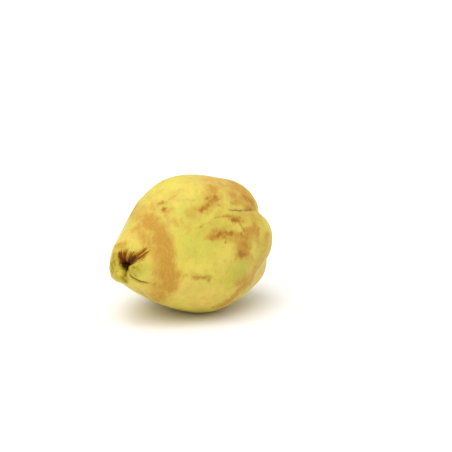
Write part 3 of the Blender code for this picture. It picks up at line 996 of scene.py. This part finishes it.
def set_in(points, shift):
    """From the fruit's own frame to its place on the floor."""
    return lay_down(np.array(points, dtype=float)) + shift


def ways_and_turns(sphere):
    """Where the sphere's points are drawn on the skin: closer together at the ends and at the face turn."""
    ring = np.arccos(np.clip(sphere[:, 2], -1.0, 1.0)) / math.pi
    way = ring - END_GATHER * np.sin(FULL_TURN * ring) / FULL_TURN
    column = np.arctan2(sphere[:, 1], sphere[:, 0])
    return way, column - FACE_GATHER * np.sin(column - math.radians(FACE_TURN))


def flattened(height):
    """Heights softly kept from going under the floor, and moved so that the lowest is on it."""
    height = 0.5 * (height + np.sqrt(height**2 + FLAT_SOFTNESS**2))
    return height - height.min()


def make_skin(material):
    """The skin, drawn from a sphere. Returns the piece and the shift that sets the fruit on the floor."""
    mesh, sphere = ball("quince_skin", COLUMNS, RINGS)
    way, turn = ways_and_turns(sphere)
    points, outward, out = plain_skin(way, turn)
    laid = lay_down(shaped_skin(points, outward, out, turn))
    low, high = laid.min(axis=0), laid.max(axis=0)
    shift = np.array([-(low[0] + high[0]) / 2, -(low[1] + high[1]) / 2, -low[2] - FLAT_DEPTH])
    laid += shift
    laid[:, 2] = flattened(laid[:, 2])
    put_at(mesh, laid)
    for name, values in skin_masks(points, way, out).items():
        layer = mesh.attributes.new(name, "FLOAT", "POINT")
        layer.data.foreach_set("value", values.astype(np.float32))
    made = object_of(mesh, "quince_skin", material)
    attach(made, "root")
    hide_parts("quince_fruit")
    return made, shift


# ---------------------------------------------------------------- shapes grown by nodes


def shape_tree(name, numbers):
    """A Geometry Nodes tree with a mesh and these named numbers as its inputs."""
    tree = bpy.data.node_groups.new(name, "GeometryNodeTree")
    tree.interface.new_socket("Geometry", in_out="INPUT", socket_type="NodeSocketGeometry")
    for label, value in numbers.items():
        kind = "NodeSocketInt" if isinstance(value, int) else "NodeSocketFloat"
        tree.interface.new_socket(label, in_out="INPUT", socket_type=kind)
    tree.interface.new_socket("Geometry", in_out="OUTPUT", socket_type="NodeSocketGeometry")
    return tree, add(tree, "NodeGroupInput").outputs


def finish_tree(tree, geometry, material):
    """Ends the tree: instances made real, in that finish."""
    real = add(tree, "GeometryNodeRealizeInstances", {"Geometry": geometry}).outputs[0]
    dressed = add(tree, "GeometryNodeSetMaterial", {"Geometry": real, "Material": material}).outputs[0]
    add(tree, "NodeGroupOutput", {0: dressed})


def grown(name, vertices, edges, faces, tree, numbers, material):
    """The piece that a tree grows out of these vertices, edges and faces."""
    start = bpy.data.meshes.new(name + " start")
    start.from_pydata([tuple(vertex) for vertex in vertices], edges, faces)
    start.update()
    holder = linked(name + " start", start)
    modifier = holder.modifiers.new("grow", "NODES")
    modifier.node_group = tree
    for socket in tree.interface.items_tree:
        if socket.in_out == "INPUT" and socket.name in numbers:
            modifier[socket.identifier] = numbers[socket.name]
    return object_of(baked(holder, name), name, material)


def thin_tube(tree, curve, radius, sides):
    """A curve given thickness: full at its start, and less by the taper at its end."""
    reached = add(tree, "GeometryNodeSplineParameter").outputs["Factor"]
    thick = times(tree, radius, minus(tree, 1.0, times(tree, reached, TUBE_TAPER)))
    ring = add(tree, "GeometryNodeCurvePrimitiveCircle", {"Resolution": sides, "Radius": 1.0})
    swept = {"Curve": curve, "Profile Curve": ring.outputs["Curve"], "Scale": thick, "Fill Caps": True}
    return add(tree, "GeometryNodeCurveToMesh", swept).outputs[0]


def turned_at_random(tree, rotation, tilt_degrees, seed):
    """A rotation tilted by up to that many degrees each way and spun by any angle."""
    tilt = maths(tree, "RADIANS", tilt_degrees)
    most = add(tree, "ShaderNodeCombineXYZ", {"X": tilt, "Y": tilt, "Z": math.pi}).outputs[0]
    least = vector_maths(tree, "SCALE", {0: most, "Scale": -1.0})
    spread = {0: least, 1: most, "Seed": seed}
    by = add(tree, "FunctionNodeRandomValue", spread, data_type="FLOAT_VECTOR").outputs[0]
    by = add(tree, "FunctionNodeEulerToRotation", {0: by}).outputs[0]
    both = {"Rotation": rotation, "Rotate By": by}
    return add(tree, "FunctionNodeRotateRotation", both, rotation_space="LOCAL").outputs[0]


def stood_about(tree, given, shape):
    """The shape stood on random places of the mesh, at random sizes, tilts and spins."""
    seed = given["Seed"]
    spread = {"Mesh": given["Geometry"], "Density": given["Density"], "Seed": seed}
    feet = add(tree, "GeometryNodeDistributePointsOnFaces", spread).outputs
    sizes = {2: given["Least size"], 3: given["Most size"], "Seed": seed}
    size = add(tree, "FunctionNodeRandomValue", sizes, data_type="FLOAT").outputs[1]
    rotation = turned_at_random(tree, feet["Rotation"], given["Tilt"], seed)
    stand = {"Points": feet["Points"], "Instance": shape, "Rotation": rotation, "Scale": size}
    return add(tree, "GeometryNodeInstanceOnPoints", stand).outputs[0]


# ---------------------------------------------------------------- the stem pit

TUBE_TAPER = 0.75
STUB_RADIUS, STUB_LENGTH, STUB_TAPER, STUB_DEPTH = 0.0010, 0.0014, 0.75, 0.0038
STUB_COLUMNS, STUB_RINGS, STUB_RIDGES, STUB_RIDGE = 64, 24, 9, 0.07
STUB_BLUNT, STUB_SHOULDER = 6, 0.35
STUB_RAGGED, STUB_RAGS, STUB_RAGS_TURN = 0.00016, 5.0, 1.0
FIBRE_RADIUS, FIBRE_SIDES, FIBRE_POINTS, FIBRE_LIFT, FIBRE_WANDER = 0.00007, 5, 14, 0.00035, 0.0003
FIBRE_LEFT_OUT, FIBRE_FIRST_LIFT, FIBRE_CURL, FIBRE_WAVES = 2, 0.1, 3, 500.0


def skin_points(places):
    """Finished skin under these places, in the fruit's own frame, and the outward directions there."""
    way = np.interp(places[:, 0] * MM, OUTER[:, 0], OUTER_WAYS)
    turn = np.radians(places[:, 1])
    points, outward, out = plain_skin(way, turn)
    return shaped_skin(points, outward, out, turn), outward


def fibre_points(path):
    """Points of a fibre along a stroke, which leaves the pit's own dark out and lifts towards its end."""
    corners = np.array(path, dtype=float)
    reach = np.linspace(0.0, len(corners) - 1.0, FIBRE_POINTS)[FIBRE_LEFT_OUT:]
    places = [np.interp(reach, range(len(corners)), corners[:, axis]) for axis in (0, 1)]
    points, outward = skin_points(np.stack(places, axis=1))
    lift = FIBRE_LIFT * np.linspace(FIBRE_FIRST_LIFT, 1.0, len(points)) ** FIBRE_CURL + FIBRE_RADIUS
    return points + outward * lift[:, None]


def make_fibres(material, shift):
    """Dry fibres that lie in the strokes round the pit and lift a little at their ends."""
    vertices, edges = [], []
    for path, _, _, _ in STROKES:
        points = fibre_points(path)
        start = len(vertices)
        vertices += list(set_in(points, shift))
        edges += [(start + step, start + step + 1) for step in range(len(points) - 1)]
    numbers = {
        "Fibre radius": FIBRE_RADIUS,
        "Wander": FIBRE_WANDER,
        "Waves": FIBRE_WAVES,
        "Sides": FIBRE_SIDES,
    }
    tree, given = shape_tree("stem fibres", numbers)
    curve = add(tree, "GeometryNodeMeshToCurve", {"Mesh": given["Geometry"]}).outputs[0]
    where = add(tree, "GeometryNodeInputPosition").outputs[0]
    waves = {"Vector": where, "Scale": given["Waves"], "Detail": 2.0}
    waves = add(tree, "ShaderNodeTexNoise", waves).outputs["Color"]
    centred = vector_maths(tree, "SUBTRACT", {0: waves, 1: (0.5, 0.5, 0.5)})
    push = vector_maths(tree, "SCALE", {0: centred, "Scale": given["Wander"]})
    curve = add(tree, "GeometryNodeSetPosition", {"Geometry": curve, "Offset": push}).outputs[0]
    finish_tree(tree, thin_tube(tree, curve, given["Fibre radius"], given["Sides"]), material)
    made = grown("stem_fibres", vertices, edges, [], tree, numbers, material)
    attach(made, "root")
    return made


def stub_point(height, turn):
    """The stub's point for a ball's height and turn: ridged, and narrower and ragged at its outer end."""
    taper = STUB_TAPER + (1.0 - STUB_TAPER) * (height + 1.0) / 2.0
    out = STUB_RADIUS * taper * max(0.0, 1.0 - abs(height) ** STUB_BLUNT) ** STUB_SHOULDER
    out *= 1.0 + STUB_RIDGE * math.cos(STUB_RIDGES * turn)
    broken = STUB_RAGGED * math.sin(STUB_RAGS * turn + STUB_RAGS_TURN) * max(0.0, -height) ** 3
    return Vector((out * math.cos(turn), out * math.sin(turn), height * STUB_LENGTH / 2.0 + broken))


def make_stub(material, shift):
    """The broken end of the stem: a peg at the bottom of the pit, in a finish partly darkened as painted
    shade.
    """
    mesh, sphere = ball("broken_stem", STUB_COLUMNS, STUB_RINGS)
    inward = Vector(PIT_INWARD).normalized()
    middle = Vector(PIT_CENTRE) + inward * STUB_DEPTH + Vector((0.0, BEND_SIDEWAYS, BEND_UP))
    turned = inward.to_track_quat("Z", "Y").to_matrix()
    points = [middle + turned @ stub_point(z, math.atan2(y, x)) for x, y, z in sphere]
    put_at(mesh, set_in(points, shift))
    made = object_of(mesh, "broken_stem", material)
    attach(made, "root")
    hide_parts("stem_stub")
    return made


# ---------------------------------------------------------------- the dried flower

SEPAL_TURNS = [30.0, 104.0, 174.0, 240.0, 314.0]
SEPAL_LENGTHS = [0.0096, 0.0086, 0.0102, 0.0082, 0.0092]
SEPAL_HALF_WIDTH, SEPAL_LEAST_HALF_WIDTH, SEPAL_THICKNESS = 0.0024, 0.0004, 0.00036
SEPAL_ROOT_WIDTH, SEPAL_WIDENING, SEPAL_TIP = 0.72, 0.95, (2.2, 0.75)
SEPAL_ROOT_ALONG, SEPAL_ROOT_OUT = 0.0414, 0.0046
SEPAL_LEAN, SEPAL_CURL, SEPAL_CUP = 34.0, 30.0, 0.0008
SEPAL_STEPS_ALONG, SEPAL_STEPS_ACROSS = 48, 24
SEPAL_TEETH, SEPAL_TOOTH = 9, 0.16
SEPAL_RIB, SEPAL_RIB_WIDTH = 0.00022, 0.09
SEPAL_VEINS, SEPAL_VEIN, SEPAL_VEIN_SLANT = 7, 0.00009, 1.6

# A sepal's crumples, all over and at its edges: the height, and the wave's radians from root to tip, from
# middle to edge and from one sepal to the next.
SEPAL_CRUMPLE, SEPAL_EDGE_CRUMPLE = (0.0003, 7.0, 1.5, 2.0), (0.00018, 9.0, 4.0, 1.0)

THREADS_DISC, THREADS_ALONG, THREADS_CORNERS, THREADS_DENSITY = 0.0025, 0.0384, 24, 2.6e6
THREAD_LENGTH, THREAD_RADIUS, THREAD_BEND, THREAD_TILT = 0.0040, 0.00010, 0.0007, 28.0
THREAD_STEPS, THREAD_SIDES, THREAD_SIZES, THREADS_SEED = 8, 5, (0.6, 1.1), 3
ANTHER_RADIUS, ANTHER_STRETCH = 0.00028, (0.8, 1.0, 1.5)
DOWN_RINGS, DOWN_COLUMNS, DOWN_WAYS, DOWN_DENSITY = 30, 72, (0.02, 0.16), 1.5e6
DOWN_LENGTH, DOWN_RADIUS, DOWN_TILT, DOWN_SIDES = 0.0011, 0.00003, 40.0, 3
DOWN_SIZES, DOWN_SEED = (0.4, 1.1), 8


def crumple(part, side, index, height, along, across, next_one):
    return height * math.sin(along * part + across * side + next_one * index)


def sepal_half_width(part, side, index):
    """Half a sepal's width, toothed at its edge, that far from root to tip."""
    narrowing, rounding = SEPAL_TIP
    widening = SEPAL_ROOT_WIDTH + SEPAL_WIDENING * part
    width = SEPAL_HALF_WIDTH * widening * (1.0 - part**narrowing) ** rounding + SEPAL_LEAST_HALF_WIDTH
    tooth = abs(math.sin(math.pi * SEPAL_TEETH * part + index)) - 0.5
    return width * (1.0 + SEPAL_TOOTH * tooth * abs(side) ** 3)


def sepal_point(part, side, length, index):
    """A sepal's point, for part 0 to 1 from root to tip, side -1 to 1 across. X along, Y out, Z across."""
    lean = math.radians(SEPAL_LEAN - SEPAL_CURL * part)
    rib = SEPAL_RIB * math.exp(-((side / SEPAL_RIB_WIDTH) ** 2)) * (1.0 - part)
    vein = math.cos(FULL_TURN * (SEPAL_VEINS * part - SEPAL_VEIN_SLANT * abs(side)))
    vein *= SEPAL_VEIN * (1.0 - part)
    uneven = crumple(part, side, index, *SEPAL_CRUMPLE) * part
    uneven += crumple(part, side, index, *SEPAL_EDGE_CRUMPLE) * abs(side)
    along = length * part * math.cos(lean) + 0.5 * uneven
    out = length * part * math.sin(lean) - SEPAL_CUP * side * side + rib + vein + uneven
    return Vector((along, out, sepal_half_width(part, side, index) * side))


def make_sepal(index, material, shift):
    """One dried sepal, toothed, veined and crumpled, standing on the wall of the basin."""
    flat, corners = grid("sepal start", SEPAL_STEPS_ALONG, SEPAL_STEPS_ACROSS, 1.0)
    turn = Matrix.Rotation(math.radians(SEPAL_TURNS[index]), 4, "X")
    root = turn @ Matrix.Translation((SEPAL_ROOT_ALONG, SEPAL_ROOT_OUT, 0.0))
    length = SEPAL_LENGTHS[index]
    points = [root @ sepal_point((x + 1.0) / 2.0, y, length, index) for x, y, _ in corners]
    put_at(flat, set_in(points, shift))
    holder = linked("sepal start", flat)
    skin = holder.modifiers.new("thickness", "SOLIDIFY")
    skin.thickness = SEPAL_THICKNESS
    skin.offset = 0.0
    name = f"dry_sepal_{index + 1}"
    made = object_of(baked(holder, name), name, material)
    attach(made, "root")
    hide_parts(f"sepal_{index + 1}")
    return made


def crooked_thread(tree, given):
    """One thread standing on the origin, bent over towards +X."""
    top = add(tree, "ShaderNodeCombineXYZ", {"Z": given["Length"]}).outputs[0]
    line = add(tree, "GeometryNodeCurvePrimitiveLine", {"End": top}).outputs[0]
    line = add(tree, "GeometryNodeResampleCurve", {"Curve": line, "Count": THREAD_STEPS}).outputs[0]
    reached = add(tree, "GeometryNodeSplineParameter").outputs["Factor"]
    bend = times(tree, maths(tree, "POWER", reached, 2.0), given["Bend"])
    sideways = add(tree, "ShaderNodeCombineXYZ", {"X": bend}).outputs[0]
    line = add(tree, "GeometryNodeSetPosition", {"Geometry": line, "Offset": sideways}).outputs[0]
    return thin_tube(tree, line, given["Thread radius"], THREAD_SIDES)


def anther(tree, given):
    """The small anther at the tip of that thread."""
    ball = {"Radius": given["Anther radius"], "Subdivisions": 1}
    ball = add(tree, "GeometryNodeMeshIcoSphere", ball).outputs[0]
    tip = add(tree, "ShaderNodeCombineXYZ", {"X": given["Bend"], "Z": given["Length"]}).outputs[0]
    moved = {"Geometry": ball, "Translation": tip, "Scale": ANTHER_STRETCH}
    return add(tree, "GeometryNodeTransform", moved).outputs[0]


def make_threads(material, shift):
    """The dried stamens: crooked threads with small anthers, which stand on the floor of the basin."""
    turns = np.linspace(0.0, FULL_TURN, THREADS_CORNERS, endpoint=False)
    rim = [(THREADS_ALONG, THREADS_DISC * math.cos(turn), THREADS_DISC * math.sin(turn)) for turn in turns]
    numbers = {
        "Density": THREADS_DENSITY,
        "Length": THREAD_LENGTH,
        "Thread radius": THREAD_RADIUS,
        "Bend": THREAD_BEND,
        "Tilt": THREAD_TILT,
        "Anther radius": ANTHER_RADIUS,
        "Least size": THREAD_SIZES[0],
        "Most size": THREAD_SIZES[1],
        "Seed": THREADS_SEED,
    }
    tree, given = shape_tree("stamen threads", numbers)
    join = add(tree, "GeometryNodeJoinGeometry")
    for geometry in (crooked_thread(tree, given), anther(tree, given)):
        tree.links.new(geometry, join.inputs[0])
    finish_tree(tree, stood_about(tree, given, join.outputs[0]), material)
    made = grown("dry_threads", set_in(rim, shift), [], [tuple(range(len(rim)))], tree, numbers, material)
    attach(made, "root")
    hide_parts("dried_stamens")
    return made


def basin_wall(shift):
    """The wall of the flower basin, which the down grows on, as vertices and faces."""
    ways = np.linspace(*DOWN_WAYS, DOWN_RINGS)
    turns = np.linspace(0.0, FULL_TURN, DOWN_COLUMNS, endpoint=False)
    way, turn = (values.ravel() for values in np.meshgrid(ways, turns, indexing="ij"))
    points, outward, out = plain_skin(way, turn)
    faces = []
    for ring in range(DOWN_RINGS - 1):
        for column in range(DOWN_COLUMNS):
            beside = (column + 1) % DOWN_COLUMNS
            low, high = ring * DOWN_COLUMNS, (ring + 1) * DOWN_COLUMNS
            faces.append((low + column, low + beside, high + beside, high + column))
    return set_in(shaped_skin(points, outward, out, turn), shift), faces


def make_down(material, shift):
    """Short pale down on the wall of the flower basin."""
    vertices, faces = basin_wall(shift)
    numbers = {
        "Density": DOWN_DENSITY,
        "Length": DOWN_LENGTH,
        "Hair radius": DOWN_RADIUS,
        "Tilt": DOWN_TILT,
        "Least size": DOWN_SIZES[0],
        "Most size": DOWN_SIZES[1],
        "Seed": DOWN_SEED,
    }
    tree, given = shape_tree("basin down", numbers)
    hair = {"Vertices": DOWN_SIDES, "Radius Top": 0.0, "Radius Bottom": given["Hair radius"]}
    hair = add(tree, "GeometryNodeMeshCone", hair | {"Depth": given["Length"]}).outputs[0]
    finish_tree(tree, stood_about(tree, given, hair), material)
    made = grown("basin_down", vertices, [], faces, tree, numbers, material)
    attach(made, "root")
    return made


# ---------------------------------------------------------------- the studio

CAMERA_AZIMUTH, CAMERA_ELEVATION, CAMERA_DISTANCE = -40.0, 15.0, 0.646
CAMERA_AIM, AIM_RIGHT, AIM_UP = (0.0, 0.0, 0.041), 0.0247, 0.0098
CAMERA_LENS, SENSOR_WIDTH, CLIP_START, CLIP_END = 85.0, 36.0, 0.01, 50.0

# The sky's strength at the horizon and overhead, its colours there, and how high the horizon's reaches.
SKY_LOW, SKY_HIGH = 0.50, 1.08
HORIZON_COLOUR, ZENITH_COLOUR = (1.0, 0.82, 0.66), (1.0, 1.0, 1.0)
HORIZON_REACH = 0.7

# A white glow in the sky behind the floor's edge: full up to its top, none past its fade.
GLOW_TOP, GLOW_FADE, GLOW = 0.03, 0.09, 0.65

# The key light's direction, as shares to the camera's left, straight up and towards the camera.
KEY_LEFT, KEY_UP, KEY_BACK = 0.26, 0.90, 0.30
KEY_DISTANCE, KEY_SIZE, KEY_POWER = 40.0, 40.0, 11000

FLOOR_COLOUR, FLOOR_ROUGHNESS, FLOOR_SIZE = (0.92, 0.92, 0.93), 0.9, 40.0


def view_directions():
    """From the fruit back to the camera, and the camera's right and up."""
    turn, rise = math.radians(CAMERA_AZIMUTH), math.radians(CAMERA_ELEVATION)
    back = Vector((math.sin(turn) * math.cos(rise), -math.cos(turn) * math.cos(rise), math.sin(rise)))
    right = Vector((math.cos(turn), math.sin(turn), 0.0))
    return back, right, back.cross(right)


def make_camera():
    back, right, up = view_directions()
    data = bpy.data.cameras.new("camera")
    data.lens = CAMERA_LENS
    data.sensor_width = SENSOR_WIDTH
    data.clip_start = CLIP_START
    data.clip_end = CLIP_END
    camera = linked("camera", data)
    eye = Vector(CAMERA_AIM) + back * CAMERA_DISTANCE
    target = Vector(CAMERA_AIM) + right * AIM_RIGHT + up * AIM_UP
    camera.location = eye
    camera.rotation_euler = (target - eye).to_track_quat("-Z", "Y").to_euler()
    bpy.context.scene.camera = camera


def make_sky():
    """A pale sky, dimmer and warmer lower down, with a white glow at the horizon."""
    world = bpy.data.worlds.new("studio")
    world.use_nodes = True
    tree = world.node_tree
    direction = add(tree, "ShaderNodeTexCoord").outputs["Generated"]
    height = add(tree, "ShaderNodeSeparateXYZ", {0: direction}).outputs["Z"]
    spread = {"Value": height, "From Min": 0.0, "From Max": 1.0, "To Min": SKY_LOW, "To Max": SKY_HIGH}
    strength = add(tree, "ShaderNodeMapRange", spread).outputs["Result"]
    glow = between(tree, height, low=GLOW_TOP, high=GLOW_FADE, least=1.0, most=0.0)
    strength = plus(tree, strength, times(tree, glow, GLOW))
    tint = laid_over(tree, HORIZON_COLOUR, ZENITH_COLOUR, height, low=0.0, high=HORIZON_REACH)
    tint = blend(tree, glow, tint, ZENITH_COLOUR)
    background = tree.nodes["Background"]
    tree.links.new(strength, background.inputs["Strength"])
    tree.links.new(tint, background.inputs["Color"])
    bpy.context.scene.world = world


def make_floor():
    """A wide sheet of pale matt paper."""
    paper, _, shader, _ = new_material("floor paper")
    shader.inputs["Base Color"].default_value = (*FLOOR_COLOUR, 1.0)
    shader.inputs["Roughness"].default_value = FLOOR_ROUGHNESS
    shader.inputs["Specular IOR Level"].default_value = 0.0
    mesh, _ = grid("floor", 1, 1, FLOOR_SIZE / 2)
    floor = object_of(mesh, "floor", paper)


def make_key_light():
    """A very wide, soft square light, high up, a little to the camera's left and to its side of the fruit."""
    back, right, _ = view_directions()
    direction = (-right * KEY_LEFT + Vector((0.0, 0.0, KEY_UP)) + back * KEY_BACK).normalized()
    data = bpy.data.lights.new("key light", "AREA")
    data.shape = "SQUARE"
    data.size = KEY_SIZE
    data.energy = KEY_POWER
    light = linked("key light", data)
    light.location = Vector(CAMERA_AIM) + direction * KEY_DISTANCE
    light.rotation_euler = direction.to_track_quat("Z", "Y").to_euler()


def make_studio():
    make_camera()
    make_sky()
    make_floor()
    make_key_light()
    bpy.context.scene.view_settings.view_transform = "Standard"


def main():
    make_studio()
    _, shift = make_skin(quince_skin())
    make_fibres(dry_finish("dry fibre"), shift)
    make_stub(dry_finish("stem wood darkened as pit shade"), shift)
    leaf = dry_finish("dead leaf")
    for index in range(len(SEPAL_TURNS)):
        make_sepal(index, leaf, shift)
    make_threads(dry_finish("dead stamen"), shift)
    make_down(dry_finish("pale down"), shift)


main()
